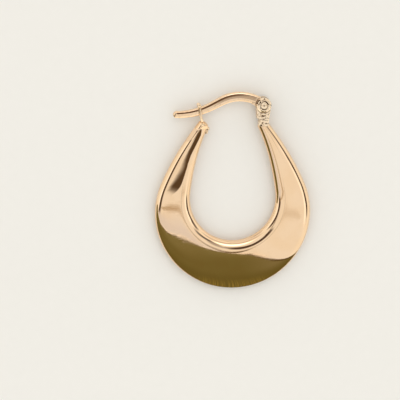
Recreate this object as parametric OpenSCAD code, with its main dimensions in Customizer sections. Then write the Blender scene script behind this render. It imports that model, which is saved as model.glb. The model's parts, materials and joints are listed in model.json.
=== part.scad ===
// Oval hoop earring in polished yellow gold: a hollow, puffed band bent into a U that is wide at
// the bottom and narrow at both tips, with a hinged ear wire that drops into an open catch.
// The earring lies on its back as it rests by itself, front face up: +X runs across the hoop,
// +Y from the bottom of the U to the hinge, and +Z up. The origin is under the middle of its box.

/* [Band] */
// Radius of the round lower bend, along the middle of the band
bend_r = 7.85; // [7.4:0.05:8.4]
// Turn of the round bend from the bottom up to each arm, in degrees
bend_turn = 105; // [102:1:107]
// Radius of the nearly straight arms above the bend
arm_r = 33; // [30:1:38]
// Turn of each arm in towards its tip, in degrees
arm_turn = 16.3; // [15:0.1:17]
// Width of the face at the bottom of the hoop, where it is widest
band_w = 6.35; // [5:0.05:6.6]
// Width of the band at its two tips
tip_w = 1.45; // [1.3:0.05:1.6]
// How soon the band narrows above the bottom: 1 follows a cosine, more narrows sooner
taper_power = 1.15; // [1:0.05:1.4]
// Thickness of the band from face to face at the bottom
band_t = 1.6; // [1.4:0.05:1.9]
// Thickness of the band at its two tips
tip_t = 1.45; // [1.3:0.05:1.6]
// Flatness of the face at the bottom: 2 is an ellipse, more gives a flatter face and tighter rims
face_power = 5; // [4:0.1:5.6]
// Flatness of the face at the band's two tips
tip_power = 2.2; // [2:0.1:2.8]
// Roundness through the band's thickness
rim_power = 2.2; // [2:0.1:3]
// Thickness of the gold sheet round the hollow
sheet_t = 0.22; // [0.18:0.02:0.26]
// Length of the rounded cap that closes each tip
cap_l = 0.5; // [0.4:0.05:0.6]

/* [Ear wire] */
// Thickness of the ear wire from front to back
wire_t = 0.72; // [0.6:0.02:0.76]
// Height of the ear wire at the top of its arch
wire_h = 1.28; // [1.1:0.02:1.3]
// Height of the ear wire behind its rounded tip
wire_tip_h = 0.94; // [0.8:0.02:1]
// Squareness of the ear wire's section: 2 is an ellipse, more is boxier
wire_power = 3.2; // [2.4:0.1:3.6]
// Sideways place of the top of the arch over the ear
arch_x = 0.85; // [0.75:0.05:0.95]
// Radius of that arch
arch_r = 5.05; // [4.9:0.05:5.3]
// Slope of the straight run between the arch and the tip, in degrees
wire_slope = 27; // [26:1:28]
// Length of that straight run
straight_l = 1.4; // [1.2:0.1:1.6]
// Radius of the upturn at the tip
upturn_r = 9.8; // [9:0.1:11]
// Turn of the upturn at the tip, in degrees
upturn_turn = 31; // [28:1:33]
// Radius of the armpit between the arch and the tail below the eye
armpit_r = 0.9; // [0.7:0.05:1]

/* [Hinge] */
// Sideways place of the hinge rivet from the middle of the hoop
hinge_x = 3.95; // [3.9:0.05:4.05]
// Height of the hinge rivet above the middle of the round bend
hinge_y = 13.25; // [13.2:0.05:13.35]
// Radius of the round cheeks
cheek_r = 0.98; // [0.96:0.01:1.06]
// Width of the hinge over both of its rivet heads
cheek_span = 2.6; // [2.4:0.05:2.7]
// Width of the folded stem below the cheeks, from front to back
stem_t = 1.66; // [1.6:0.02:1.8]
// Gap on each side of the ear wire in its slot
slot_gap = 0.06; // [0.04:0.01:0.1]
// Radius of the rivet
rivet_r = 0.3; // [0.26:0.01:0.32]
// Radius of the rivet's heads
rivet_head_r = 0.46; // [0.42:0.01:0.48]
// Running clearance of the ear wire's eye round the rivet
eye_clearance = 0.05; // [0.03:0.01:0.08]

/* [Catch] */
// Radius of the catch's wire
catch_wire_r = 0.16; // [0.12:0.01:0.2]
// Radius of the ball on each tine
catch_ball_r = 0.24; // [0.22:0.01:0.3]
// Height of the tines from the bottom of their U to the ball's middle
catch_h = 2.35; // [2.2:0.05:2.5]
// Lean of the tines away from the hinge, in degrees
catch_lean = 10.5; // [9:0.5:14]

/* [Hidden] */
$fn = 48;

// How finely the swept shapes are drawn
band_rings = 84;
band_sides = 26;
hollow_rings = 48;
hollow_sides = 14;
wire_rings = 40;
wire_sides = 16;
cap_rings = 4;

// Lengths along the middle of the band, from the bottom of the U
bend_l = bend_r * bend_turn * PI / 180;
arm_l = arm_r * arm_turn * PI / 180;
half_l = bend_l + arm_l;

// Cheeks, slot and stem of the hinge, measured from the rivet; cuts run past_l beyond the metal
slot_half = wire_t / 2 + slot_gap;
head_proud = 0.05;
cheek_top_z = cheek_span / 2 - head_proud;
cheek_round = 0.34;
past_l = 4;
stem_bottom = -2.78;
stem_outline = [[-0.91, -0.35], [-0.86, -1.72], [-0.64, -1.98], [-0.64, stem_bottom],
    [0.62, stem_bottom], [0.72, -1.9], [0.91, -0.35]];
web_top = -1.08;
tail_slot_x = -0.22;
tail_slot_bottom = -1.8;
notch_r = 0.22;
notch_at = [-0.72, -1.98];
pit_r = 0.09;
pit_depth = 0.1;
pits = [[-0.18, -2.33], [0.28, -2.4]];

// Window in the stem's outer side, and the small slotted tongue that fills its lower half
window_w = 1;
window_bottom = -2.35;
window_depth = 0.34;
tongue_w = 0.66;
tongue_h = 0.62;
tongue_inset = 0.06;
tongue_root = 0.1;
tongue_slot_w = 0.16;
tongue_slot_root = 0.15;

// Seats of the rivet's heads, and the eye and tail of the ear wire between the cheeks
head_seat_z = cheek_top_z - 0.2;
head_seat_gap = 0.06;
small_gap = 0.02;
dimple_r = 0.16;
eye_r = 0.92;
eye_bore_r = rivet_r + eye_clearance;
tail_l = 1.68;
tail_w = 0.62;

// Tines of the catch, and the bead of solder on the inner side of the tip that carries them
tine_z = wire_t / 2 + slot_gap + catch_ball_r;
catch_foot = [-0.12, 0.32];
solder_r = 0.3;
solder_back = 0.55;
solder_proud = 0.05;

// Points and headings along the middle of the band: s runs from the left tip to the right one
function arm_heading(s) = bend_turn + (s - bend_l) / arm_r * 180 / PI;
function heading(s) = s <= bend_l ? s / bend_r * 180 / PI : arm_heading(s);
function toward(angle) = [sin(angle), -cos(angle)];
function right_spine(s) =
    s <= bend_l
        ? bend_r * toward(heading(s))
        : (bend_r - arm_r) * toward(bend_turn) + arm_r * toward(heading(s));
function spine(s) = s < 0 ? flip(right_spine(-s)) : right_spine(s);
function outward(s) = s < 0 ? flip(toward(heading(-s))) : toward(heading(s));
function flip(p) = [-p.x, p.y];
function along(s) = [-outward(s).y, outward(s).x];

// Width and thickness of the band, both widest at the bottom
function taper(s) = cos(90 * min(abs(s) / half_l, 1));
function half_width(s) = (tip_w + (band_w - tip_w) * pow(taper(s), taper_power)) / 2;
function half_thickness(s) = (tip_t + (band_t - tip_t) * taper(s)) / 2;
function flatness(s) = tip_power + (face_power - tip_power) * taper(s);

// A rounded section: half sizes a across and b through, on n points
function eased(v, power) = sign(v) * pow(abs(v), 2 / power);
function section(a, b, n, across_power, through_power) =
    [for (j = [0:n - 1])
        let (angle = 360 * (j + 0.5) / n)
        [a * eased(cos(angle), across_power), b * eased(sin(angle), through_power)]];

// A section stood across a path at a point in the hoop's plane
function stood(flat, middle, across) =
    [for (p = flat) [middle.x + across.x * p.x, middle.y + across.y * p.x, p.y]];

// The band's rings, less a wall, with rings that close over each tip
function band_ring(s, wall, n, shrink) =
    let (
        inside = min(max(s, -half_l), half_l),
        beyond = s - inside,
        middle = spine(inside) + beyond * along(inside),
        a = (half_width(inside) - wall) * shrink,
        b = (half_thickness(inside) - wall) * shrink
    )
    stood(section(a, b, n, flatness(inside), rim_power), middle, outward(inside));
function cap_angle(i) = 90 * i / (cap_rings + 0.5);
function band_shell() =
    concat(
        [for (i = [cap_rings:-1:1])
            band_ring(-half_l - cap_l * sin(cap_angle(i)), 0, band_sides, cos(cap_angle(i)))],
        [for (i = [0:band_rings])
            band_ring(half_l * (2 * i / band_rings - 1), 0, band_sides, 1)],
        [for (i = [1:cap_rings])
            band_ring(half_l + cap_l * sin(cap_angle(i)), 0, band_sides, cos(cap_angle(i)))]
    );
hollow_half_l = half_l - 2 * sheet_t;
function band_hollow() =
    [for (i = [0:hollow_rings])
        band_ring(hollow_half_l * (2 * i / hollow_rings - 1), sheet_t, hollow_sides, 1)];

// The ear wire's middle line, as an arc, a straight run and an upturn, from the hinge to the tip
arch_start = asin((hinge_x - arch_x) / arch_r);
arch_y = hinge_y - arch_r * cos(arch_start);
arch_turn = arch_start + wire_slope;
arch_l = arch_r * arch_turn * PI / 180;
upturn_l = upturn_r * upturn_turn * PI / 180;
wire_l = arch_l + straight_l + upturn_l;
arch_end = [arch_x - arch_r * sin(wire_slope), arch_y + arch_r * cos(wire_slope)];
straight_end = arch_end - straight_l * [cos(wire_slope), sin(wire_slope)];
upturn_middle = straight_end + upturn_r * [-sin(wire_slope), cos(wire_slope)];
function wire_up(u) =
    u <= arch_l ? arch_start - u / arch_r * 180 / PI
    : u <= arch_l + straight_l ? -wire_slope
    : -wire_slope + (u - arch_l - straight_l) / upturn_r * 180 / PI;
function wire_middle(u) =
    u <= arch_l ? [arch_x, arch_y] + arch_r * [sin(wire_up(u)), cos(wire_up(u))]
    : u <= arch_l + straight_l ? arch_end - (u - arch_l) * [cos(wire_slope), sin(wire_slope)]
    : upturn_middle - upturn_r * [sin(wire_up(u)), cos(wire_up(u))];

// The wire keeps its full height over the first part of its length, then thins to the tip
full_share = 0.25;
wire_root = 0.62;
tip_round = wire_tip_h / 2;
function thinned(u) = (1 - cos(180 * max(0, u / wire_l - full_share) / (1 - full_share))) / 2;
function wire_half_h(u) = (wire_h + (wire_tip_h - wire_h) * thinned(u)) / 2;
function wire_ring(u, shrink) =
    stood(section(wire_half_h(u) * shrink, wire_t / 2 * shrink, wire_sides, wire_power, wire_power),
        wire_middle(u), [sin(wire_up(u)), cos(wire_up(u))]);
function wire_rings_list() =
    concat(
        [for (i = [0:wire_rings])
            wire_ring(wire_root + (wire_l - tip_round - wire_root) * i / wire_rings, 1)],
        [for (i = [1:cap_rings])
            wire_ring(wire_l - tip_round + tip_round * sin(cap_angle(i)), cos(cap_angle(i)))]
    );

// The pose at rest: the rivet's lower head and one place on the band's back touch the surface,
// and the line between the two passes under the centre of mass
rest_turn = -16;
rest_share = 0.45;
rest_s = bend_r * rest_turn * PI / 180;
rest_r = bend_r + rest_share * half_width(rest_s);
rest_z = half_thickness(rest_s) * pow(1 - pow(rest_share, flatness(rest_s)), 1 / rim_power);
head_low = [hinge_x + rivet_head_r * sin(rest_turn), hinge_y - rivet_head_r * cos(rest_turn),
    -cheek_span / 2];
band_low = [rest_r * sin(rest_turn), -rest_r * cos(rest_turn), -rest_z];
rest_along = [cos(rest_turn), sin(rest_turn), 0];
rest_up_raw = cross(rest_along, head_low - band_low);
rest_up = rest_up_raw / norm(rest_up_raw) * sign(rest_up_raw.z);
rest_tilt = acos(rest_up.z);
rest_lift = -(band_low * rest_up);
box_bottom_y = -bend_r - band_w / 2;
box_top_y = arch_y + arch_r + wire_h / 2;
box_middle_y = (box_bottom_y + box_top_y) / 2;

module resting() {
    translate([0, -box_middle_y, rest_lift])
        rotate(a = rest_tilt, v = cross(rest_up, [0, 0, 1]))
            children();
}

// A closed solid through rings of points
module swept(rings) {
    n = len(rings[0]);
    m = len(rings);
    points = [for (ring = rings) each ring];
    sides = [for (i = [0:m - 2]) for (j = [0:n - 1])
        let (a = i * n + j, b = i * n + (j + 1) % n)
        each [[a, b, b + n], [a, b + n, a + n]]];
    first = [for (j = [n - 1:-1:0]) j];
    last = [for (j = [0:n - 1]) (m - 1) * n + j];
    polyhedron(points, concat([first], sides, [last]), convexity = 6);
}

// The puffed band: a sheet of gold closed round a hollow
module band() {
    difference() {
        swept(band_shell());
        swept(band_hollow());
    }
}

// One cheek of the hinge: a round pad with a rounded edge, as high as the rivet's seat
module cheek() {
    pad_t = cheek_top_z - slot_half;
    translate([0, 0, slot_half])
        rotate_extrude() {
            square([cheek_r, pad_t - cheek_round]);
            square([cheek_r - cheek_round, pad_t]);
            translate([cheek_r - cheek_round, pad_t - cheek_round])
                circle(r = cheek_round);
        }
}

// Room in the cheeks for the rivet and one of its heads
module rivet_seat() {
    cylinder(r = rivet_r + small_gap, h = cheek_span);
    translate([0, 0, head_seat_z])
        cylinder(r = rivet_head_r + head_seat_gap, h = cheek_span);
}

// The slot between the cheeks, deeper on the inner side where the ear wire's tail lies
module wire_slot() {
    translate([0, 0, -slot_half])
        linear_extrude(2 * slot_half) {
            translate([-past_l / 2, web_top])
                square([past_l, past_l]);
            translate([tail_slot_x - past_l, tail_slot_bottom])
                square([past_l, past_l]);
        }
}

// The window in the stem's outer side, less the slotted tongue that stands in it
module window() {
    stem_side = stem_outline[5].x;
    window_x = stem_side - window_depth;
    difference() {
        translate([window_x, window_bottom, -window_w / 2])
            cube([past_l, past_l, window_w]);
        difference() {
            translate([0, window_bottom - tongue_root, -tongue_w / 2])
                cube([stem_side - tongue_inset, tongue_h + tongue_root, tongue_w]);
            translate([window_x + tongue_root, window_bottom + tongue_slot_root, -tongue_slot_w / 2])
                cube([past_l, tongue_h, tongue_slot_w]);
        }
    }
}

// The hinge housing: cheeks on a folded stem, measured from the rivet
module housing() {
    difference() {
        union() {
            translate([0, 0, -stem_t / 2])
                linear_extrude(stem_t)
                    polygon(stem_outline);
            for (side = [0, 1])
                mirror([0, 0, side])
                    cheek();
        }
        wire_slot();
        window();
        translate([notch_at.x, notch_at.y, -stem_t])
            cylinder(r = notch_r, h = 2 * stem_t);
        for (side = [0, 1])
            mirror([0, 0, side]) {
                rivet_seat();
                for (pit = pits)
                    translate([pit.x, pit.y, stem_t / 2 - pit_depth])
                        cylinder(r = pit_r, h = past_l);
            }
    }
}

// The catch: a wire bent to a U with a ball on each tine, and a bead of solder beside its foot
module catch() {
    foot = spine(-half_l) + catch_foot;
    bead = spine(-half_l + solder_back) - (half_width(half_l) + solder_proud) * outward(-half_l);
    translate([foot.x, foot.y, 0])
        rotate([0, 0, catch_lean]) {
            translate([0, tine_z, 0])
                rotate([0, 90, 0])
                    rotate([0, 0, 180])
                        rotate_extrude(angle = 180, start = 0)
                            translate([tine_z, 0])
                                circle(r = catch_wire_r);
            for (side = [-1, 1])
                translate([0, tine_z, side * tine_z])
                    rotate([-90, 0, 0]) {
                        cylinder(r = catch_wire_r, h = catch_h - tine_z);
                        translate([0, 0, catch_h - tine_z])
                            sphere(r = catch_ball_r);
                    }
        }
    translate([bead.x, bead.y, 0])
        sphere(r = solder_r);
}

module hoop() {
    color("gold")
        resting()
            union() {
                band();
                catch();
                translate([hinge_x, hinge_y, 0])
                    housing();
            }
}

// Outline of the ear wire's hinged end: eye, tail, and the armpit rounded between tail and arch
module eye_outline() {
    underside_r = arch_r - wire_h / 2;
    centre_x = -eye_r - armpit_r;
    from_arch_x = hinge_x + centre_x - arch_x;
    from_arch_y = sqrt(pow(underside_r - armpit_r, 2) - pow(from_arch_x, 2));
    centre = [centre_x, arch_y + from_arch_y - hinge_y];
    reach = underside_r / (underside_r - armpit_r);
    meeting = [arch_x + reach * from_arch_x - hinge_x, arch_y + reach * from_arch_y - hinge_y];
    circle(r = eye_r);
    translate([-eye_r, -tail_l])
        square([tail_w, tail_l]);
    difference() {
        polygon([centre, [-eye_r + tail_w / 2, centre.y], [-eye_r + tail_w / 2, wire_h / 4],
            meeting + [0, wire_h / 4], meeting]);
        translate(centre)
            circle(r = armpit_r);
    }
}

module ear_wire() {
    color("gold")
        resting()
            difference() {
                union() {
                    swept(wire_rings_list());
                    translate([hinge_x, hinge_y, -wire_t / 2])
                        linear_extrude(wire_t)
                            eye_outline();
                }
                translate([hinge_x, hinge_y, 0])
                    cylinder(r = eye_bore_r, h = past_l, center = true);
            }
}

module hinge_rivet() {
    head_z = head_seat_z + small_gap;
    head_l = cheek_span / 2 - head_z;
    color("goldenrod")
        resting()
            translate([hinge_x, hinge_y, 0]) {
                cylinder(r = rivet_r, h = 2 * head_z + head_l, center = true);
                for (side = [0, 1])
                    mirror([0, 0, side])
                        difference() {
                            translate([0, 0, head_z])
                                cylinder(r = rivet_head_r, h = head_l);
                            translate([0, 0, cheek_span / 2 + dimple_r / 2])
                                sphere(r = dimple_r);
                        }
            }
}

hoop();
ear_wire();
hinge_rivet();
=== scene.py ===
# Oval hoop earring in polished yellow gold: its looks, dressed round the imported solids.
# The sections follow the earring as it is put together: band, catch, hinge housing, ear wire and
# rivet. The camera comes first, and the studio that the gold mirrors comes last.
import json
import math

import bmesh
import bpy
from mathutils import Matrix, Vector


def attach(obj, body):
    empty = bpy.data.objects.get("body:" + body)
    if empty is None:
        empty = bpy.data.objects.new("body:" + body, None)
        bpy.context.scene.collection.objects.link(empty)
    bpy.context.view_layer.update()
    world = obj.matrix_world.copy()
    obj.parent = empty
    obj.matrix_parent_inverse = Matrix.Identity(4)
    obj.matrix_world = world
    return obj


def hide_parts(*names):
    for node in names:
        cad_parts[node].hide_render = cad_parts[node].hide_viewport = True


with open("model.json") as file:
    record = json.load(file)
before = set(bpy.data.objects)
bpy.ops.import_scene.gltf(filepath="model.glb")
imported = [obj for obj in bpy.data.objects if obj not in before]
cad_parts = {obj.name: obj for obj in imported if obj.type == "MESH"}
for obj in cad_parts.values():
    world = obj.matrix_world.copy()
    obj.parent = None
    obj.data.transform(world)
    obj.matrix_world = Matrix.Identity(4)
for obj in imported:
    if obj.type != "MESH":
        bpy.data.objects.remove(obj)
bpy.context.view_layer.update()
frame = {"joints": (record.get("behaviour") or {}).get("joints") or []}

# Where the earring lies
# It rests on its back, with its own plane a little off the level. Every piece is drawn in that
# plane in millimetres, from the middle of the round bend with +Y to the hinge, and then laid
# in the frame by the hinge's joint.
mm = 0.001
hinge_at = Vector((3.95, 13.25, 0))
swing = frame["joints"][0]
lay = Vector((0, 0, 1)).rotation_difference(-Vector(swing["axis"])).to_matrix()
bend_middle = Vector(swing["pos_m"]) - mm * (lay @ hinge_at)
to_frame = Matrix.Translation(bend_middle) @ lay.to_4x4() @ Matrix.Scale(mm, 4)

# Camera
# The photograph looks at the face of the hoop from 300 mm off, from 10 degrees above its middle
# and 5 degrees to its left, through a long lens, with the earring right of the picture's middle.
look_up = math.radians(10)
look_left = math.radians(5)
view_from = Vector(
    (
        -math.sin(look_left) * math.cos(look_up),
        math.sin(look_up),
        math.cos(look_left) * math.cos(look_up),
    )
)
view_right = Vector((0, 1, 0)).cross(view_from).normalized()
view_up = view_from.cross(view_right)
view_aim = Vector((-4.3, 0.745, 0))
view_distance = 300
view_turn = Matrix((view_right, view_up, view_from)).transposed()

camera = bpy.data.objects.new("camera", bpy.data.cameras.new("camera"))
bpy.context.scene.collection.objects.link(camera)
camera.data.lens = 206.5
camera.data.clip_start = 0.01
camera.matrix_world = (
    Matrix.Translation(to_frame @ (view_aim + view_distance * view_from))
    @ (lay @ view_turn).to_4x4()
)
bpy.context.scene.camera = camera


# Band
# The real band is two pressed halves of gold sheet soldered into one hollow, puffed U, widest at
# the bottom and closed to a rounded tip at the top of each arm, then polished to a mirror.
class Wire:
    """A socket in a node tree. Sums written with it add the nodes that work them out."""

    def __init__(self, tree, socket=None):
        self.tree = tree
        self.socket = socket

    def node(self, kind, settings=None, inputs=None, output=0):
        """A new node of the same tree, its settings first, then its sockets."""
        made = self.tree.nodes.new(kind)
        for name, value in (settings or {}).items():
            setattr(made, name, value)
        for name, value in (inputs or {}).items():
            if isinstance(value, Wire):
                self.tree.links.new(value.socket, made.inputs[name])
            else:
                made.inputs[name].default_value = value
        return Wire(self.tree, made.outputs[output]) if made.outputs else None

    def maths(self, operation, *values):
        return self.node("ShaderNodeMath", {"operation": operation}, dict(enumerate(values)))

    def __add__(self, other):
        return self.maths("ADD", self, other)

    def __radd__(self, other):
        return self.maths("ADD", other, self)

    def __sub__(self, other):
        return self.maths("SUBTRACT", self, other)

    def __rsub__(self, other):
        return self.maths("SUBTRACT", other, self)

    def __mul__(self, other):
        return self.maths("MULTIPLY", self, other)

    def __rmul__(self, other):
        return self.maths("MULTIPLY", other, self)

    def __truediv__(self, other):
        return self.maths("DIVIDE", self, other)

    def __rtruediv__(self, other):
        return self.maths("DIVIDE", other, self)

    def __pow__(self, other):
        return self.maths("POWER", self, other)

    def __abs__(self):
        return self.maths("ABSOLUTE", self)

    def sin(self):
        return self.maths("SINE", self)

    def cos(self):
        return self.maths("COSINE", self)

    def sign(self):
        return self.maths("SIGN", self)

    def at_most(self, other):
        return self.maths("MINIMUM", self, other)

    def at_least(self, other):
        return self.maths("MAXIMUM", self, other)

    def dot(self, vector):
        settings = {"operation": "DOT_PRODUCT"}
        return self.node("ShaderNodeVectorMath", settings, {0: self, 1: vector}, "Value")

    def rises(self, low, high):
        """0 below low, 1 above high, and a smooth step between."""
        settings = {"interpolation_type": "SMOOTHSTEP"}
        inputs = {"Value": self, "From Min": low, "From Max": high}
        return self.node("ShaderNodeMapRange", settings, inputs)

    def colour(self, tone):
        """A colour of its own in the same tree."""
        made = self.node("ShaderNodeRGB")
        made.socket.default_value = (*tone, 1)
        return made

    def tinted(self, tone, share):
        """This colour, mixed with another one by a share of it."""
        other = tone if isinstance(tone, Wire) else self.colour(tone)
        return self.node("ShaderNodeMix", {"data_type": "RGBA"}, {0: share, 6: self, 7: other}, 2)


def shape_tree(name, sizes):
    """A new Geometry Nodes tree with these sizes as its named inputs."""
    tree = bpy.data.node_groups.new(name, "GeometryNodeTree")
    tree.interface.new_socket("Geometry", in_out="OUTPUT", socket_type="NodeSocketGeometry")
    for size, value in sizes.items():
        kind = "NodeSocketInt" if isinstance(value, int) else "NodeSocketFloat"
        tree.interface.new_socket(size, in_out="INPUT", socket_type=kind)
    given = tree.nodes.new("NodeGroupInput")
    return tree, {size: Wire(tree, given.outputs[size]) for size in sizes}


# Points closer than this, in millimetres, are one.
same_point = 0.0005


def swept_grid(tree, rings, sides, place, material):
    """Ends a tree with a grid bent to a closed tube: place(along, around) gives each point."""
    start = Wire(tree)
    size = {"Size X": 2, "Size Y": 4, "Vertices X": rings, "Vertices Y": sides}
    grid = start.node("GeometryNodeMeshGrid", None, size)
    spot = start.node("GeometryNodeInputPosition")
    split = start.node("ShaderNodeSeparateXYZ", None, {0: spot}).socket.node
    along = Wire(tree, split.outputs[0])
    around = Wire(tree, split.outputs[1])
    x, y, z = place(along, around)
    there = start.node("ShaderNodeCombineXYZ", None, {0: x, 1: y, 2: z})
    bent = start.node("GeometryNodeSetPosition", None, {"Geometry": grid, "Position": there})
    closed = start.node(
        "GeometryNodeMergeByDistance", None, {"Geometry": bent, "Distance": same_point}
    )
    smooth = start.node("GeometryNodeSetShadeSmooth", None, {"Geometry": closed})
    real = start.node("GeometryNodeRealizeInstances", None, {"Geometry": smooth})
    dressed = start.node("GeometryNodeSetMaterial", None, {"Geometry": real, "Material": material})
    done = tree.nodes.new("NodeGroupOutput")
    tree.links.new(dressed.socket, done.inputs[0])


def grown(name, tree, sizes):
    """The plain mesh that a tree makes with these sizes, in millimetres, as an object."""
    blank = bpy.data.objects.new(name, bpy.data.meshes.new(name))
    bpy.context.scene.collection.objects.link(blank)
    modifier = blank.modifiers.new("shape", "NODES")
    modifier.node_group = tree
    for item in tree.interface.items_tree:
        if item.in_out == "INPUT":
            modifier[item.identifier] = sizes[item.name]
    return settled(blank)


def settled(piece):
    """The object with its modifiers worked into its mesh."""
    depsgraph = bpy.context.evaluated_depsgraph_get()
    mesh = bpy.data.meshes.new_from_object(
        piece.evaluated_get(depsgraph), preserve_all_data_layers=True, depsgraph=depsgraph
    )
    piece.modifiers.clear()
    old = piece.data
    piece.data = mesh
    bpy.data.meshes.remove(old)
    mesh.name = piece.name
    return piece


def laid(piece, body, *nodes):
    """Lays a finished piece in the frame, faces outwards, on its body and for its CAD nodes."""
    shell = bmesh.new()
    shell.from_mesh(piece.data)
    bmesh.ops.recalc_face_normals(shell, faces=shell.faces)
    shell.to_mesh(piece.data)
    shell.free()
    piece.data.transform(to_frame)
    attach(piece, body)
    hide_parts(*nodes)
    return piece


def gold(name, tone, polish, scratches, waves, dirt_and_shade=0.0):
    """Polished gold: its tone, and how rough it is where it is clean and where it is smudged.

    scratches says how strong the scratches are, and waves how uneven the gold is in millimetres.
    The last argument sets tan tarnish spots and a brown painted shade where the gold is shut in,
    in recesses, dents and between parts, which stands partly for residue there.
    """
    clean, smudged = polish
    material = bpy.data.materials.new(name)
    material.use_nodes = True
    tree = material.node_tree
    tree.nodes.clear()
    start = Wire(tree)
    place = start.node("ShaderNodeTexCoord", None, None, "Object")
    in_mm = start.node("ShaderNodeMapping", None, {"Vector": place, "Scale": (1 / mm,) * 3})

    def noise(scale, detail, vector=in_mm):
        """Soft uneven spots, scale of them to a millimetre."""
        inputs = {"Vector": vector, "Scale": scale, "Detail": detail}
        return start.node("ShaderNodeTexNoise", None, inputs)

    def hairlines(turn):
        """Fine scratches, all one way, far longer than they are wide."""
        stretch = {"Vector": in_mm, "Rotation": turn, "Scale": (0.5, 26, 26)}
        return noise(1.0, 1.0, start.node("ShaderNodeMapping", None, stretch)).rises(0.62, 0.72)

    redder = (tone[0] * 0.985, tone[1] * 0.965, tone[2] * 0.93)
    colour = start.colour(tone).tinted(redder, noise(0.45, 2.0).rises(0.35, 0.65))
    smudge = noise(0.9, 4.0).rises(0.42, 0.7)
    lines = hairlines((0.3, 0.2, 0.6)) + hairlines((0.5, 0.1, -0.9)) + hairlines((0.1, 0.7, 1.8))
    rough = clean + (smudged - clean) * smudge + 0.03 * scratches * lines
    height = waves * noise(0.22, 1.0) - 0.0002 * scratches * lines
    metal = 1.0
    if dirt_and_shade:
        # Painted shade, partly residue: the gold turns brown, rougher and less metallic where it is
        # shut in, as in recesses, dents and between parts.
        reach = 0.35 * mm
        shut_in = start.node(
            "ShaderNodeAmbientOcclusion", {"samples": 8}, {"Distance": reach}, "AO"
        )
        grime_and_shade = (1 - shut_in).rises(0.14, 0.45) * dirt_and_shade
        film = noise(3.2, 3.0).rises(0.52, 0.72) * 0.45 * dirt_and_shade
        film_tan, grime_and_shade_brown = (0.5, 0.3, 0.14), (0.09, 0.035, 0.01)
        colour = colour.tinted(film_tan, film).tinted(grime_and_shade_brown, grime_and_shade)
        rough = rough + 0.25 * grime_and_shade
        metal = 1 - 0.85 * grime_and_shade
    bump = start.node(
        "ShaderNodeBump", None, {"Strength": 1.0, "Distance": mm, "Height": height}
    )
    inputs = {
        "Base Color": colour,
        "Metallic": metal,
        "Roughness": rough,
        "Normal": bump,
        "Specular IOR Level": 0.1,
    }
    skin = start.node("ShaderNodeBsdfPrincipled", None, inputs)
    start.node("ShaderNodeOutputMaterial", None, {"Surface": skin})
    return material


band_sizes = {
    "Bend radius": 7.85,
    "Bend turn": math.radians(105),
    "Arm radius": 33.0,
    "Arm turn": math.radians(16.3),
    "Width": 6.35,
    "Tip width": 1.45,
    "Taper power": 1.15,
    "Thickness": 1.6,
    "Tip thickness": 1.45,
    "Face power": 5.0,
    "Tip power": 2.2,
    "Rim power": 2.2,
    "Cap length": 0.5,
    "Rings": 321,
    "Sides": 129,
}
# Each end of the grid, by this share of its half, rounds the tip off.
cap_share = 0.06
quarter = math.pi / 2

tree, size = shape_tree("band shape", band_sizes)
bend_l = size["Bend radius"] * size["Bend turn"]
arm_l = size["Arm radius"] * size["Arm turn"]
half_l = bend_l + arm_l


def band_point(along, around):
    """along runs from the left tip at -1 to the right one at 1, around from -2 to 2 quarters."""
    beyond = (abs(along) - (1 - cap_share)).at_least(0) / cap_share * quarter
    run = (abs(along) / (1 - cap_share)).at_most(1) * half_l
    heading = (
        run.at_most(bend_l) / size["Bend radius"]
        + (run - bend_l).at_least(0) / size["Arm radius"]
    )
    bent = heading.at_most(size["Bend turn"])
    reach = beyond.sin() * size["Cap length"]
    middle_x = (
        bent.sin() * size["Bend radius"]
        + (heading.sin() - bent.sin()) * size["Arm radius"]
        + heading.cos() * reach
    )
    middle_y = (
        heading.sin() * reach
        - bent.cos() * size["Bend radius"]
        - (heading.cos() - bent.cos()) * size["Arm radius"]
    )
    taper = (run / half_l * quarter).cos().at_least(0)
    narrowed = taper ** size["Taper power"]
    half_w = (size["Tip width"] + (size["Width"] - size["Tip width"]) * narrowed) / 2
    half_t = (size["Tip thickness"] + (size["Thickness"] - size["Tip thickness"]) * taper) / 2
    flatness = size["Tip power"] + (size["Face power"] - size["Tip power"]) * taper
    from_middle = abs(around) - 1
    slant = abs(from_middle) ** (flatness / 2) * quarter
    across = 0 - from_middle.sign() * half_w * slant.sin() ** (2 / flatness)
    through = around.sign() * half_t * slant.cos().at_least(0) ** (2 / size["Rim power"])
    out = beyond.cos() * across
    return (
        along.sign() * (middle_x + heading.sin() * out),
        middle_y - heading.cos() * out,
        beyond.cos() * through,
    )


band_gold = gold("band_gold", (0.955, 0.7, 0.46), (0.03, 0.05), 0.4, 0.0004)
swept_grid(tree, size["Rings"], size["Sides"], band_point, band_gold)
band = grown("band", tree, band_sizes)
laid(band, "hoop", "hoop")


# Catch
# A fork bent from round wire, with a small ball melted on the end of each tine. Its U is
# soldered on the left tip of the band, and the solder's beads were never polished flat.
def tip_frame(back):
    """The middle of the band's left arm, back from its tip, and the way out of the U there."""
    bend, bend_r = band_sizes["Bend turn"], band_sizes["Bend radius"]
    arm_r = band_sizes["Arm radius"]
    turned = bend + band_sizes["Arm turn"] - back / arm_r
    x = bend_r * math.sin(bend) + arm_r * (math.sin(turned) - math.sin(bend))
    y = -bend_r * math.cos(bend) - arm_r * (math.cos(turned) - math.cos(bend))
    return Vector((-x, y, 0)), Vector((-math.sin(turned), -math.cos(turned), 0))


def linked(name, mesh):
    """A mesh as an object of the scene."""
    made = bpy.data.objects.new(name, mesh)
    bpy.context.scene.collection.objects.link(made)
    return made


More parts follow.
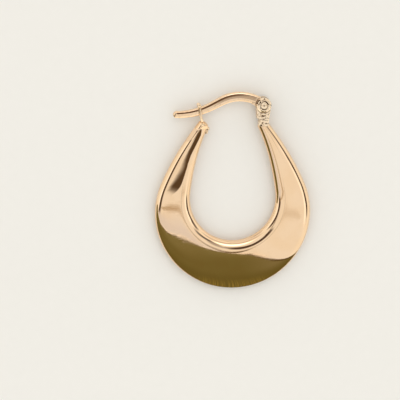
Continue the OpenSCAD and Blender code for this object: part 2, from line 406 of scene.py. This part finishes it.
def tube(name, points, radius):
    """Round wire along a line of points, closed at its ends."""
    line = bpy.data.curves.new(name, "CURVE")
    line.dimensions = "3D"
    line.bevel_depth = radius
    line.bevel_resolution = 8
    line.use_fill_caps = True
    spline = line.splines.new("POLY")
    spline.points.add(len(points) - 1)
    for knot, point in zip(spline.points, points):
        knot.co = (*point, 1)
    drawn = linked(name, line)
    depsgraph = bpy.context.evaluated_depsgraph_get()
    mesh = bpy.data.meshes.new_from_object(drawn.evaluated_get(depsgraph), depsgraph=depsgraph)
    bpy.data.objects.remove(drawn)
    return linked(name, mesh)


def ball(name, middle, radius, depth=1.0):
    """A ball, or one drawn out from front to back by depth."""
    mesh = bpy.data.meshes.new(name)
    shell = bmesh.new()
    stretched = Matrix.Translation(middle) @ Matrix.Diagonal((1, 1, depth, 1))
    bmesh.ops.create_uvsphere(shell, u_segments=32, v_segments=20, radius=radius, matrix=stretched)
    shell.to_mesh(mesh)
    shell.free()
    return linked(name, mesh)


def merged(name, parts):
    """Several closed parts as one object, still apart."""
    mesh = bpy.data.meshes.new(name)
    shell = bmesh.new()
    for part in parts:
        shell.from_mesh(part.data)
        bpy.data.objects.remove(part)
    shell.to_mesh(mesh)
    shell.free()
    return linked(name, mesh)


def fused(piece, grain, rounds, material, lumps=0.0):
    """Melts overlapping parts into one skin with soft edges, and the lumps that hand work has."""
    remesh = piece.modifiers.new("fuse", "REMESH")
    remesh.mode = "VOXEL"
    remesh.voxel_size = grain
    smooth = piece.modifiers.new("soften", "SMOOTH")
    smooth.factor = 0.5
    smooth.iterations = rounds
    if lumps:
        uneven = piece.modifiers.new("lumps", "DISPLACE")
        uneven.texture = bpy.data.textures.new(piece.name + "_lumps", "CLOUDS")
        uneven.texture.noise_scale = 0.45
        uneven.strength = lumps
        uneven.mid_level = 0.5
    settled(piece)
    piece.data.materials.clear()
    piece.data.materials.append(material)
    piece.data.shade_smooth()
    return piece


wire_t = 0.72
running_gap = 0.06
catch_wire_r = 0.16
catch_ball_r = 0.24
catch_h = 2.35
catch_lean = math.radians(10.5)
catch_foot = Vector((-0.12, 0.32, 0))
tine_off = wire_t / 2 + running_gap + catch_ball_r
tip_at, _ = tip_frame(0)
foot = Matrix.Translation(tip_at + catch_foot) @ Matrix.Rotation(catch_lean, 4, "Z")
u_steps = 24
u_turns = [math.radians(180 * i / u_steps) for i in range(u_steps + 1)]
u_bend = [(0, tine_off * (1 - math.sin(t)), tine_off * math.cos(t)) for t in u_turns]
fork_line = [(0, catch_h, tine_off)] + u_bend + [(0, catch_h, -tine_off)]
fork = tube("fork", [foot @ Vector(p) for p in fork_line], catch_wire_r)
balls = [
    ball("ball", foot @ Vector((0, catch_h, side * tine_off)), catch_ball_r) for side in (-1, 1)
]

# The solder stands in two beads on the arm's inner side, each given by how far it is back from
# the tip, how far it stands off and its radius, and in a knob that is drawn out under the fork.
inner_side = band_sizes["Tip width"] / 2
beads = []
for back, off, radius in ((0.55, 0.05, 0.3), (0.1, 0, 0.28)):
    bead_at, bead_out = tip_frame(back)
    beads.append(ball("solder", bead_at - (inner_side + off) * bead_out, radius))
knob_at = Vector((-0.1, 0.1, 0))
knob_r = 0.38
knob_depth = 2.05
knob = ball("knob", tip_at + knob_at, knob_r, knob_depth)
# Its painted shade browns the gold where the fork, beads and knob crowd the band's tip.
catch_gold = gold("catch_gold", (0.96, 0.76, 0.54), (0.1, 0.2), 1.0, 0.006, 0.6)
catch = fused(merged("catch", [fork, *balls, *beads, knob]), 0.02, 4, catch_gold)
laid(catch, "hoop", "hoop")


# Hinge housing
# Two round cheeks on a stem folded from thick sheet, soldered on the right tip. The ear wire
# turns between the cheeks, and the stem's window holds the tongue that stopped its spring.
def prism(name, outline, low, high):
    """A flat outline given thickness from low to high."""
    mesh = bpy.data.meshes.new(name)
    shell = bmesh.new()
    ring = [shell.verts.new((x, y, low)) for x, y in outline]
    face = shell.faces.new(ring)
    risen = bmesh.ops.extrude_face_region(shell, geom=[face])
    top = [v for v in risen["geom"] if isinstance(v, bmesh.types.BMVert)]
    bmesh.ops.translate(shell, verts=top, vec=(0, 0, high - low))
    bmesh.ops.recalc_face_normals(shell, faces=shell.faces)
    shell.to_mesh(mesh)
    shell.free()
    return linked(name, mesh)


def block(name, low, high):
    """A square block from its lowest corner to its highest."""
    (x0, y0, z0), (x1, y1, z1) = low, high
    return prism(name, [(x0, y0), (x1, y0), (x1, y1), (x0, y1)], z0, z1)


def turned(name, profile, sides=96):
    """A profile of radius and height turned about the rivet's axis; its ends lie on the axis."""
    mesh = bpy.data.meshes.new(name)
    shell = bmesh.new()
    points = [shell.verts.new((r, 0, z)) for r, z in profile]
    edges = [shell.edges.new(pair) for pair in zip(points, points[1:])]
    bmesh.ops.spin(
        shell,
        geom=points + edges,
        cent=(0, 0, 0),
        axis=(0, 0, 1),
        angle=2 * math.pi,
        steps=sides,
        use_merge=True,
    )
    bmesh.ops.remove_doubles(shell, verts=shell.verts, dist=same_point)
    bmesh.ops.recalc_face_normals(shell, faces=shell.faces)
    shell.to_mesh(mesh)
    shell.free()
    return linked(name, mesh)


def disc(middle, radius, sides=48):
    """The outline of a disc."""
    steps = [2 * math.pi * i / sides for i in range(sides)]
    return [(middle[0] + radius * math.cos(t), middle[1] + radius * math.sin(t)) for t in steps]


def worked(piece, tool, operation):
    """Cuts a tool out of a piece, or joins it on."""
    modifier = piece.modifiers.new("work", "BOOLEAN")
    modifier.operation = operation
    modifier.solver = "EXACT"
    modifier.object = tool
    settled(piece)
    bpy.data.objects.remove(tool)
    return piece


# The housing is drawn about the rivet's axis, and past lies beyond it on every side.
rivet_axis = (0, 0)
past = 2
slot_half = wire_t / 2 + running_gap
stem_t = 1.66
stem_bottom = -2.78
cheek_r = 0.98
cheek_top = 1.25
cheek_round = 0.34
bore_r = 0.32
seat_r = 0.5
seat_floor = 1.05
pit_r = 0.09
pit_floor = 0.73
stem_outline = [
    (-0.91, -0.35),
    (-0.86, -1.72),
    (-0.64, -1.98),
    (-0.64, stem_bottom),
    (0.62, stem_bottom),
    (0.72, -1.9),
    (0.91, -0.35),
]
rim_steps = 12
rim = [math.radians(90 * i / rim_steps) for i in range(rim_steps + 1)]
cheek_profile = [(0, slot_half), (cheek_r, slot_half)]
cheek_profile += [
    (
        cheek_r - cheek_round * (1 - math.cos(t)),
        cheek_top - cheek_round * (1 - math.sin(t)),
    )
    for t in rim
]
cheek_profile.append((0, cheek_top))

# Dents that the riveting left round the seat, and pliers and file elsewhere, the same on both
# faces: across, up, radius, and the level of the middle of the ball that makes the dent.
seat_dents = [(0.5, math.radians(turn), 0.11) for turn in (15, 35, 55, 75)]
seat_dents += [(0.52, math.radians(turn), 0.09) for turn in (215, 250)]
dents = [(r * math.cos(t), r * math.sin(t), dent_r, 1.2) for r, t, dent_r in seat_dents]
dents += [
    (0.02, 0.8, 0.12, 1.1),
    (-0.72, 0.52, 0.15, 1.0),
    (-0.5, 0.38, 0.1, 1.18),
    (-0.58, 0.66, 0.1, 1.08),
    (-0.84, 0.28, 0.12, 1.02),
    (0.84, 0.0, 0.12, 1.05),
    (0.62, 0.4, 0.08, 1.16),
    (-0.2, -1.4, 0.12, 0.82),
    (-0.02, -1.42, 0.1, 0.82),
    (0.16, -1.4, 0.08, 0.84),
    (-0.35, -2.66, 0.13, 0.79),
]

# What is cut square out of the stem or left standing in it: lowest corner, highest corner.
blocks = [
    ("slot", (-past, -1.08, -slot_half), (past, past, slot_half), "DIFFERENCE"),
    ("tail_slot", (-past, -1.8, -slot_half), (-0.22, past, slot_half), "DIFFERENCE"),
    ("window", (0.38, -2.35, -0.5), (past, 0, 0.5), "DIFFERENCE"),
    ("tongue", (0, -2.45, -0.33), (0.66, -1.73, 0.33), "UNION"),
    ("tongue_slot", (0.48, -2.2, -0.08), (past, 0, 0.08), "DIFFERENCE"),
]

housing = prism("hinge_housing", stem_outline, -stem_t / 2, stem_t / 2)
for side in (1, -1):
    cheek = turned("cheek", [(r, side * z) for r, z in cheek_profile])
    worked(housing, cheek, "UNION")
for name, low, high, operation in blocks:
    worked(housing, block(name, low, high), operation)
worked(housing, prism("notch", disc((-0.72, -1.98), 0.22), -past, past), "DIFFERENCE")
worked(housing, prism("bore", disc(rivet_axis, bore_r), -past, past), "DIFFERENCE")
for side in (1, -1):
    seat = sorted((side * seat_floor, side * past))
    worked(housing, prism("seat", disc(rivet_axis, seat_r), *seat), "DIFFERENCE")
    for pit in ((-0.18, -2.33), (0.28, -2.4)):
        depth = sorted((side * pit_floor, side * past))
        worked(housing, prism("pit", disc(pit, pit_r, 24), *depth), "DIFFERENCE")
for side in (1, -1):
    for x, y, radius, level in dents:
        dent = ball("dent", Vector((x, y, side * level)), radius)
        worked(housing, dent, "DIFFERENCE")
# The hinge's painted shade is strong, so its dents, pits, notch and rivet seats, and the rivet that
# shares this gold, turn nearly black-brown.
hinge_gold = gold("hinge_gold", (0.96, 0.78, 0.57), (0.06, 0.14), 1.0, 0.01, 1.3)
fused(housing, 0.024, 2, hinge_gold, 0.08)
housing.data.transform(Matrix.Translation(hinge_at))
laid(housing, "hoop", "hoop")

# Ear wire
# A bar rolled from round wire until its front and back are nearly flat, arched over the ear lobe
# and turned up at its rounded tip. At the hinge it ends in an eye with a short tail below.
arch_r = 5.05
arch_side = 0.85
wire_sizes = {
    "Arch radius": arch_r,
    "Arch start": math.asin((hinge_at.x - arch_side) / arch_r),
    "Slope": math.radians(27),
    "Straight run": 1.4,
    "Upturn radius": 9.8,
    "Upturn turn": math.radians(31),
    "Height": 1.28,
    "Tip height": 0.94,
    "Thickness": wire_t,
    "Section power": 3.2,
    "Arch side": arch_side,
    "Arch level": hinge_at.y - math.sqrt(arch_r**2 - (hinge_at.x - arch_side) ** 2),
    "Root": 0.62,
    "Rings": 161,
    "Sides": 65,
}
# Shares of the length: full height up to the first, a closed root, and a rounded tip.
full_share = 0.25
root_share = 0.01
tip_share = 0.12

tree, size = shape_tree("ear wire shape", wire_sizes)
arch_l = size["Arch radius"] * (size["Arch start"] + size["Slope"])
wire_l = arch_l + size["Straight run"] + size["Upturn radius"] * size["Upturn turn"]


def wire_point(along, around):
    """along runs from the eye at -1 to the tip at 1, around from -2 to 2 quarters."""
    share = (along + 1) / 2
    tip_round = size["Tip height"] / 2
    body_l = wire_l - tip_round - size["Root"]
    body_share = ((share - root_share) / (1 - root_share - tip_share)).at_least(0).at_most(1)
    run = size["Root"] + body_share * body_l
    beyond = (share - (1 - tip_share)).at_least(0) / tip_share * quarter
    shrink = beyond.cos() * (share / root_share).at_most(1)
    reach = run + beyond.sin() * tip_round
    arch = (size["Arch start"] - reach / size["Arch radius"]).at_least(0 - size["Slope"])
    straight = (reach - arch_l).at_least(0).at_most(size["Straight run"])
    upturn = (reach - arch_l - size["Straight run"]).at_least(0) / size["Upturn radius"]
    upturn = upturn - size["Slope"]
    heading = arch + upturn + size["Slope"]
    middle_x = (
        size["Arch side"]
        + arch.sin() * size["Arch radius"]
        - straight * size["Slope"].cos()
        - (size["Slope"].sin() + upturn.sin()) * size["Upturn radius"]
    )
    middle_y = (
        size["Arch level"]
        + arch.cos() * size["Arch radius"]
        - straight * size["Slope"].sin()
        + (size["Slope"].cos() - upturn.cos()) * size["Upturn radius"]
    )
    late = ((run / wire_l - full_share) / (1 - full_share)).at_least(0) * math.pi
    thinned = (1 - late.cos()) / 2
    half_h = (size["Height"] + (size["Tip height"] - size["Height"]) * thinned) / 2
    turn = around * quarter
    across = turn.cos().sign() * half_h * abs(turn.cos()) ** (2 / size["Section power"])
    through = (
        turn.sin().sign() * size["Thickness"] / 2 * abs(turn.sin()) ** (2 / size["Section power"])
    )
    up = shrink * across
    return middle_x + heading.sin() * up, middle_y + heading.cos() * up, shrink * through


# Its painted shade browns the wire where other gold lies close, as at the eye between the cheeks.
wire_gold = gold("wire_gold", (0.96, 0.72, 0.49), (0.05, 0.09), 0.8, 0.002, 0.6)
swept_grid(tree, size["Rings"], size["Sides"], wire_point, wire_gold)
ear_wire_bar = grown("ear_wire_bar", tree, wire_sizes)
laid(ear_wire_bar, "ear_wire", "ear_wire")

# The eye and its tail, with a web that fills the corner between the tail and the bar's underside.
eye_r = 0.92
eye_bore_r = 0.35
tail_l = 1.68
tail_w = 0.62
corner_r = 0.9
web_overlap = 0.3
eye_sunk = 0.005
eye_half_t = wire_t / 2 - eye_sunk
arch_middle = Vector((arch_side, wire_sizes["Arch level"])) - hinge_at.xy
under_r = arch_r - wire_sizes["Height"] / 2
corner_x = -eye_r - corner_r
corner_rise = math.sqrt((under_r - corner_r) ** 2 - (corner_x - arch_middle.x) ** 2)
corner = Vector((corner_x, arch_middle.y + corner_rise))
corner_start = math.atan2(corner_rise, corner_x - arch_middle.x)
corner_steps = 16
corner_turns = [corner_start * (1 - i / corner_steps) for i in range(corner_steps + 1)]
web = [tuple(corner + corner_r * Vector((math.cos(t), math.sin(t)))) for t in corner_turns]
tail_x = -eye_r + tail_w / 2
web += [(tail_x, corner.y), (tail_x, web_overlap), (web[0][0], web[0][1] + web_overlap)]
eye = prism("ear_wire_eye", disc(rivet_axis, eye_r, 96), -eye_half_t, eye_half_t)
tail = block("tail", (-eye_r, -tail_l, -eye_half_t), (-eye_r + tail_w, 0, eye_half_t))
worked(eye, tail, "UNION")
worked(eye, prism("web", web, -eye_half_t, eye_half_t), "UNION")
worked(eye, prism("bore", disc(rivet_axis, eye_bore_r, 64), -past, past), "DIFFERENCE")
fused(eye, 0.022, 3, wire_gold)
eye.data.transform(Matrix.Translation(hinge_at))
laid(eye, "ear_wire", "ear_wire")

# Hinge rivet
# A gold pin through both cheeks and the eye. Each end is spread to a flat head in its seat,
# with the dimple that the riveting punch leaves in its middle.
rivet_r = 0.3
head_r = 0.46
head_top = 1.3
head_low = 1.07
head_round = 0.06
punch_r = 0.16
punch_sunk = 0.08
dimple_r = math.sqrt(punch_r**2 - punch_sunk**2)
dimple_steps = 8
dimple_turn = math.asin(dimple_r / punch_r)
dimple = [dimple_turn * (1 - i / dimple_steps) for i in range(dimple_steps + 1)]
half_profile = [(rivet_r, head_low), (head_r, head_low)]
half_profile += [
    (
        head_r - head_round * (1 - math.cos(t)),
        head_top - head_round * (1 - math.sin(t)),
    )
    for t in rim
]
half_profile += [
    (punch_r * math.sin(t), head_top + punch_sunk - punch_r * math.cos(t)) for t in dimple
]
rivet_profile = [(r, -z) for r, z in reversed(half_profile)] + half_profile
rivet = turned("hinge_rivet_pin", rivet_profile)
rivet.data.materials.append(hinge_gold)
rivet.data.shade_smooth()
rivet.data.set_sharp_from_angle(angle=math.radians(50))
rivet.data.transform(Matrix.Translation(hinge_at))
laid(rivet, "hoop", "hinge_rivet")

# Studio
# A plain pale floor in an even white tent. Only the gold's mirror sees the rest of the tent: an
# olive card at the foot of the hoop, a fold in the white paper behind it, dark and white cards
# and two cords close by, and the tent's own seams.
floor_half = 1.5
floor = linked("floor", bpy.data.meshes.new("floor"))
shell = bmesh.new()
bmesh.ops.create_grid(shell, x_segments=1, y_segments=1, size=floor_half)
shell.to_mesh(floor.data)
shell.free()
paper = bpy.data.materials.new("floor_paper")
paper.use_nodes = True
paper.node_tree.nodes.clear()
start = Wire(paper.node_tree)
place = start.node("ShaderNodeTexCoord", None, None, "Object")
mottle = start.node("ShaderNodeTexNoise", None, {"Vector": place, "Scale": 900.0, "Detail": 3.0})
floor_tone, floor_shade = (0.86, 0.85, 0.82), (0.84, 0.83, 0.8)
shade = start.colour(floor_tone).tinted(floor_shade, mottle)
inputs = {"Base Color": shade, "Roughness": 0.7, "Specular IOR Level": 0.2}
skin = start.node("ShaderNodeBsdfPrincipled", None, inputs)
start.node("ShaderNodeOutputMaterial", None, {"Surface": skin})
floor.data.materials.append(paper)


def mirrored(name, points, faces, spots, draw):
    """A glowing card that only mirrors see: draw gives its colour and where it is solid."""
    mesh = bpy.data.meshes.new(name)
    mesh.from_pydata(points, [], faces)
    marks = mesh.attributes.new("spot", "FLOAT_VECTOR", "POINT")
    for mark, spot in zip(marks.data, spots):
        mark.vector = spot
    material = bpy.data.materials.new(name)
    material.use_nodes = True
    material.node_tree.nodes.clear()
    start = Wire(material.node_tree)
    spot = start.node("ShaderNodeAttribute", {"attribute_name": "spot"}, None, "Vector")
    axes = start.node("ShaderNodeSeparateXYZ", None, {0: spot}).socket.node
    colour, solid = draw(start, *(Wire(start.tree, axes.outputs[i]) for i in range(3)))
    glow = start.node("ShaderNodeEmission", None, {"Color": colour, "Strength": 1.0})
    clear = start.node("ShaderNodeBsdfTransparent")
    card_skin = start.node("ShaderNodeMixShader", None, {0: solid, 1: clear, 2: glow})
    start.node("ShaderNodeOutputMaterial", None, {"Surface": card_skin})
    mesh.materials.append(material)
    mesh.transform(to_frame)
    card = linked(name, mesh)
    card.visible_camera = False
    card.visible_diffuse = False
    card.visible_shadow = False


def sheet(name, rows, tone):
    """A card of rows of (place, how solid), soft where solid and clear columns meet."""
    points = [point for row in rows for point, _ in row]
    spots = [(solid, 0, 0) for row in rows for _, solid in row]
    wide = len(rows[0])
    faces = [
        (k, k + 1, k + 1 + wide, k + wide)
        for i in range(len(rows) - 1)
        for k in range(i * wide, (i + 1) * wide - 1)
    ]

    def draw(start, solid, _, __):
        return start.colour(tone), solid.rises(0, 1)

    mirrored(name, points, faces, spots, draw)


def strip(name, line, place, half, soft, tone):
    """A soft-edged strip along a line of (across, up, strength), laid out by place."""
    rows = []
    for i, (a, b, strength) in enumerate(line):
        before, after = line[max(i - 1, 0)], line[min(i + 1, len(line) - 1)]
        way = Vector((after[0] - before[0], after[1] - before[1])).normalized()
        columns = ((-half - soft, 0), (-half, strength), (half, strength), (half + soft, 0))
        rows.append([(place(a - off * way.y, b + off * way.x), solid) for off, solid in columns])
    sheet(name, rows, tone)


# An olive card lies at the foot of the hoop, finely ribbed along its near side. The gold mirrors
# it as a crescent, and the crescent's upper boundary is the card's uneven far edge.
olive_y = -11.3
just_over = 0.02
just_under = 0.05
olive_edge = [
    (-300, 150), (-80, 47), (-27, 30.5), (-18.2, 33), (-11.3, 35.1), (-7.1, 38.5), (-5, 40.2),
    (-4.2, 39.5), (-3.7, 38), (-3.3, 36.3), (-2.7, 35.3), (-2, 34.7), (-1.3, 34.7), (-0.5, 34.9),
    (0.4, 36.6), (1.45, 38.9), (2.5, 40.5), (3.4, 40), (3.9, 37.2), (4.2, 34), (4.45, 31),
    (4.75, 28.5), (5.1, 26.4), (5.55, 24.6), (6.05, 23.3), (6.5, 22.4), (7, 21.6), (7.5, 20.3),
    (8.1, 17.6), (8.8, 14.6), (9.8, 10.8), (10.9, 7.8), (12.2, 5), (13.9, 1.6), (16.2, -1.8),
    (16.2, -60),
]  # fmt: skip


def olive_paint(start, x, y, z):
    """Dark and ribbed near the hoop, paler far from it and to the right, and solid all over."""
    near_olive, rib_olive = (0.141, 0.118, 0.031), (0.36, 0.3, 0.08)
    far_olive, edge_olive = (0.17, 0.146, 0.046), (0.215, 0.19, 0.075)
    right_olive = (0.23, 0.2, 0.095)
    ribs = start.node("ShaderNodeTexNoise", {"noise_dimensions": "1D"}, {"W": x, "Scale": 9.0})
    ribbed = ribs.rises(0.5, 0.6) * (1 - z.rises(-1, 6)) * (1 - abs(x).rises(3, 7))
    near = start.colour(near_olive).tinted(rib_olive, ribbed)
    far = start.colour(far_olive).tinted(edge_olive, z.rises(18, 33))
    far = far.tinted(right_olive, x.rises(2, 9) * 0.8)
    return near.tinted(far, z.rises(1, 14)), 1.0


corners = [(x, olive_y, z) for x, z in olive_edge] + [(-300, olive_y, -60)]
mirrored("olive_card", corners, [tuple(range(len(corners)))], corners, olive_paint)


# Strips on the card: its dark rim, a dark branch of it that runs on over the paper, a light line
# beyond the rim, and the paper's fold.
def on_olive(x, z):
    return x, olive_y + just_over, z


rim_line = [(x, z - 0.4, 1.0) for x, z in olive_edge[2:-1]]
strip("olive_rim", rim_line, on_olive, 0.2, 0.4, (0.12, 0.085, 0.03))
rim_branch = [
    (3.4, 40, 0.8), (4.8, 46.8, 0.9), (5.4, 55.3, 0.8), (6.3, 65, 0.45), (8, 78, 0.2),
    (9.8, 89.6, 0),
]  # fmt: skip
strip("rim_branch", rim_branch, on_olive, 0.8, 0.7, (0.15, 0.1, 0.045))
rim_light = [(x + 0.1, z + 1.0, 0.8) for x, z in olive_edge[2:-9]]
strip("rim_light", rim_light, on_olive, 0.3, 0.6, (1.08, 1.02, 0.96))
fold = [
    (-42, 81, 0), (-29, 74, 1), (-22, 71, 1), (-13.7, 68, 1), (-4.1, 65.4, 1), (-2.5, 65, 1),
    (2, 65.5, 0.7), (9.7, 67, 0.45), (14.9, 58.5, 0.4), (18.8, 52, 0.35), (22, 46, 0),
]  # fmt: skip
strip("paper_fold", fold, on_olive, 1.2, 3.2, (0.52, 0.42, 0.3))

# The paper beyond the card is bluer on the left, up to its fold.
shade_y = olive_y - just_under
shade_rows = [
    [((x, shade_y, z), left * up) for x, left in ((-60, 1), (-2, 1), (7, 0))]
    for z, up in ((20, 1), (44, 1), (66, 0))
]
sheet("paper_shade", shade_rows, (0.8, 0.81, 0.88))

# A dark card leans close over the left arm, soft on its outer side.
card_z = 5
card_rows = [
    ((-4.2, 9.9), (-3.6, 9.5), 0.9), ((-4.9, 9.2), (-1.7, 7.7), 1), ((-4.95, 8.5), (-2.2, 7.3), 1),
    ((-5.1, 7.9), (-2.9, 7.1), 1), ((-5.3, 7.3), (-3.6, 6.75), 1), ((-5.6, 6.8), (-4.25, 6.4), 1),
    ((-5.8, 6.2), (-4.75, 5.95), 1), ((-6.0, 5.6), (-4.95, 5.4), 1), ((-6.1, 5.0), (-5.2, 4.9), 1),
    ((-6.2, 4.5), (-5.25, 4.4), 1), ((-6.45, 4.0), (-5.5, 3.9), 1), ((-6.85, 3.5), (-5.7, 3.4), 1),
    ((-7.2, 3.0), (-5.95, 2.9), 1), ((-7.7, 2.55), (-6.2, 2.4), 1), ((-8.2, 2.15), (-6.6, 1.9), 1),
    ((-8.7, 1.7), (-7.1, 1.4), 0.7), ((-9.0, 1.3), (-7.6, 1.0), 0.25),
    ((-9.2, 0.9), (-8.1, 0.6), 0),
]  # fmt: skip
soft_top = 0.2
soft_growth = 0.075
shape_rows = []
for i, (left, right, strength) in enumerate(card_rows):
    soft_l = soft_top + soft_growth * i
    shape_rows.append(
        [
            ((left[0] - soft_l, left[1] + 0.1, card_z), 0),
            ((left[0] + soft_l / 2, left[1], card_z), strength),
            ((right[0] - 0.05, right[1], card_z), strength),
            ((right[0] + 0.12, right[1] - 0.03, card_z), 0),
        ]
    )
sheet("dark_card", shape_rows, (0.1, 0.065, 0.036))

# Another follows the ear wire: clear below, tan over the bar's face, dark near its upper edge.
# Its rows are given by their place on the wire, the wire's slope there, how tan and how dark the
# card is, and how far up it reaches.
over_wire = [
    (-8.1, 11.91, -5, 0, 0, 3.3), (-7.7, 11.93, -4, 0, 1, 3.3), (-7.1, 11.91, 0, 0, 1, 3.3),
    (-5.4, 12.06, 10, 0.1, 1, 3.3), (-3.8, 12.5, 20, 0.3, 1, 3.3), (-2.7, 12.98, 27, 0.5, 1, 3.2),
    (-1.44, 13.6, 27, 0.9, 0.9, 2.9), (-0.46, 13.99, 15, 1, 0.8, 2.6),
    (0.85, 14.16, 0, 1, 0.75, 2.5), (2.0, 14.03, -13, 1, 0.5, 2.5), (2.9, 13.75, -24, 1, 0.45, 2.5),
]  # fmt: skip
over_x, over_y = 0.44, -0.88
wire_rows = []
for x, y, slope, tan_share, dark, top in over_wire:
    up_x, up_y = -math.sin(math.radians(slope)), math.cos(math.radians(slope))
    columns = (
        (-0.3, 0), (0.05, 0.5 * tan_share), (0.6, 0.5 * tan_share), (0.8, dark), (top, dark),
        (top + 0.5, 0),
    )  # fmt: skip
    place_x, place_y = x + over_x, y + over_y
    wire_rows.append(
        [((place_x + up_x * off, place_y + up_y * off, card_z), solid) for off, solid in columns]
    )
sheet("wire_card", wire_rows, (0.12, 0.065, 0.03))

# A white card lies under the ear wire, with a brighter near edge, and lights its underside.
white_y = 10.2
white_sides = (-9, 2.6)
white_rows = [[((x, white_y, z), 1) for x in white_sides] for z in (-0.5, 14)]
sheet("white_card", white_rows, (0.88, 0.85, 0.83))
edge_y = white_y + just_over
edge_ends = ((-0.5, 1), (2, 1), (5, 0))
edge_rows = [[((x, edge_y, z), solid) for x in white_sides] for z, solid in edge_ends]
sheet("white_edge", edge_rows, (1.15, 1.12, 1.02))


# A cord lies just under the white card, where the band's left tip mirrors it.
def under_white(x, z):
    return x, white_y - just_under, z


tip_line = [
    (-4.7, 1.0, 0), (-4.95, 1.35, 0.6), (-5.7, 2.9, 0.9), (-6.4, 3.8, 0.95), (-7.2, 5.1, 0.95),
    (-8, 6.2, 0.95), (-8.85, 7.3, 0.95), (-9.3, 8, 0.9),
]  # fmt: skip
strip("tip_cord", tip_line, under_white, 0.25, 0.25, (0.09, 0.055, 0.03))


# Another, as brown as the tent's seams, hangs close over the inner side of the right arm's foot.
def over_arm(x, y):
    return x, y, 6


arm_line = [
    (3.5, -3.65, 0), (3.62, -3.5, 0.8), (3.79, -3.33, 1), (4.03, -2.69, 1), (4.14, -2.11, 0.8),
    (4.24, -1.65, 0.4), (4.3, -1.2, 0),
]  # fmt: skip
seam_brown = (0.075, 0.045, 0.026)
strip("dark_cord", arm_line, over_arm, 0.08, 0.14, seam_brown)

# The tent is sewn from panels. Its seams are given by their heading round the tent's middle, how
# far out they lie, and how dark they are, all as seen from the hoop.
tent_r = 3000
tent_middle = (0.05, -0.085)


def on_tent(u, w):
    """The place on the round tent that these two flattened measures of a direction stand for."""
    flat = u * u + w * w
    return tuple(tent_r * part / (1 + flat) for part in (2 * u, 2 * w, 1 - flat))


def sewn(name, line, half, soft, tone):
    """A strip on the tent along a line of (heading, how far out, strength)."""
    u0, w0 = tent_middle
    knots = [
        (u0 + r * math.cos(math.radians(turn)), w0 + r * math.sin(math.radians(turn)), strength)
        for turn, r, strength in line
    ]
    strip(name, knots, on_tent, half, soft, tone)


inner_seam = [
    (32, 0.165, 0), (37, 0.168, 0.6), (44, 0.19, 0.8), (53, 0.22, 0.9), (60, 0.25, 0.85),
    (64, 0.22, 0.6), (72, 0.14, 0.45), (81, 0.14, 0.5), (90, 0.15, 0.8), (99, 0.13, 0.95),
    (108, 0.115, 0.95), (117, 0.115, 1), (126, 0.12, 1), (135, 0.13, 1), (141, 0.13, 0.8),
    (145, 0.13, 0),
]  # fmt: skip
right_seam = [
    (-16, 0.38, 0), (-8, 0.38, 0.3), (0, 0.39, 0.9), (7, 0.365, 0.9), (12, 0.36, 0.8),
    (18, 0.37, 0.85), (24, 0.4, 0.8), (30, 0.36, 0.8), (36, 0.35, 0.6), (42, 0.35, 0),
]  # fmt: skip
left_seam = [
    (142.5, 0.31, 0), (143.5, 0.31, 0.9), (145, 0.32, 0.95), (147, 0.335, 0.95),
    (149, 0.34, 0.95), (154, 0.33, 0.9), (161, 0.285, 0.9), (166, 0.29, 0.85), (171, 0.335, 1),
    (177, 0.37, 1), (183, 0.42, 1), (188, 0.49, 0.8), (196, 0.55, 0.3),
]  # fmt: skip
sewn("inner_seam", inner_seam, 0.02, 0.03, seam_brown)
sewn("right_seam", right_seam, 0.08, 0.05, seam_brown)
sewn("left_seam", left_seam, 0.045, 0.05, seam_brown)
faint = [(33, 0.05, 0), (39, 0.05, 0.3), (55, 0.05, 0.4), (72, 0.055, 0.5), (84, 0.06, 0)]
sewn("faint_seam", faint, 0.006, 0.014, seam_brown)
bend = [(192, 0.08, 0), (192.5, 0.1, 0.3), (194.5, 0.13, 0.3), (197, 0.17, 0.25), (199, 0.2, 0)]
sewn("bend_seam", bend, 0.006, 0.02, seam_brown)

# A bright panel runs beside each of the two outer seams, and a browner one lies above.
panel_white = (1.25, 1.25, 1.25)
right_light = [(-20, 0.25, 0), (-8, 0.25, 0.8), (10, 0.26, 1), (28, 0.25, 0.8), (40, 0.25, 0)]
sewn("right_light", right_light, 0.04, 0.06, panel_white)
left_light = [(130, 0.5, 0), (142, 0.5, 0.8), (160, 0.46, 1), (176, 0.52, 0.8), (184, 0.6, 0)]
sewn("left_light", left_light, 0.04, 0.07, panel_white)
upper = [(40, 0.5, 0), (55, 0.5, 0.8), (90, 0.5, 1), (120, 0.5, 0.8), (135, 0.5, 0)]
sewn("upper_paper", upper, 0.07, 0.07, (0.72, 0.62, 0.55))

# The tent itself: white, warmer away from its middle, with one large lamp behind it high up. The
# camera sees it in the floor's own tone.
lamp_at = (0.05, 0.26)
lamp_half = (0.14, 0.09)
lamp_white = (2.4, 2.3, 2.3)
world = bpy.data.worlds.new("studio")
bpy.context.scene.world = world
world.use_nodes = True
world.node_tree.nodes.clear()
start = Wire(world.node_tree)
look = start.node("ShaderNodeTexCoord", None, None, "Generated")
right, up, front = (look.dot(tuple(lay.col[i])) for i in range(3))
depth = (front + 1).at_least(0.05)
u = right / depth
w = up / depth
off = ((u - tent_middle[0]) ** 2 + (w - tent_middle[1]) ** 2) ** 0.5
tent = start.colour((0.93, 0.92, 0.9)).tinted((1.0, 0.98, 0.92), off.rises(0.15, 0.4))
lamp_u = (u - lamp_at[0]) / lamp_half[0]
lamp_w = (w - lamp_at[1]) / lamp_half[1]
lamp = (lamp_u**2 + lamp_w**2) ** 0.5
tent = tent.tinted(lamp_white, 1 - lamp.rises(0.5, 1.5))
camera_ray = start.node("ShaderNodeLightPath", None, None, "Is Camera Ray")
tent = tent.tinted(floor_tone, camera_ray)
glow = start.node("ShaderNodeBackground", None, {"Color": tent, "Strength": 1.0})
start.node("ShaderNodeOutputWorld", None, {"Surface": glow})

scene = bpy.context.scene
scene.view_settings.view_transform = "Standard"
scene.view_settings.look = "None"
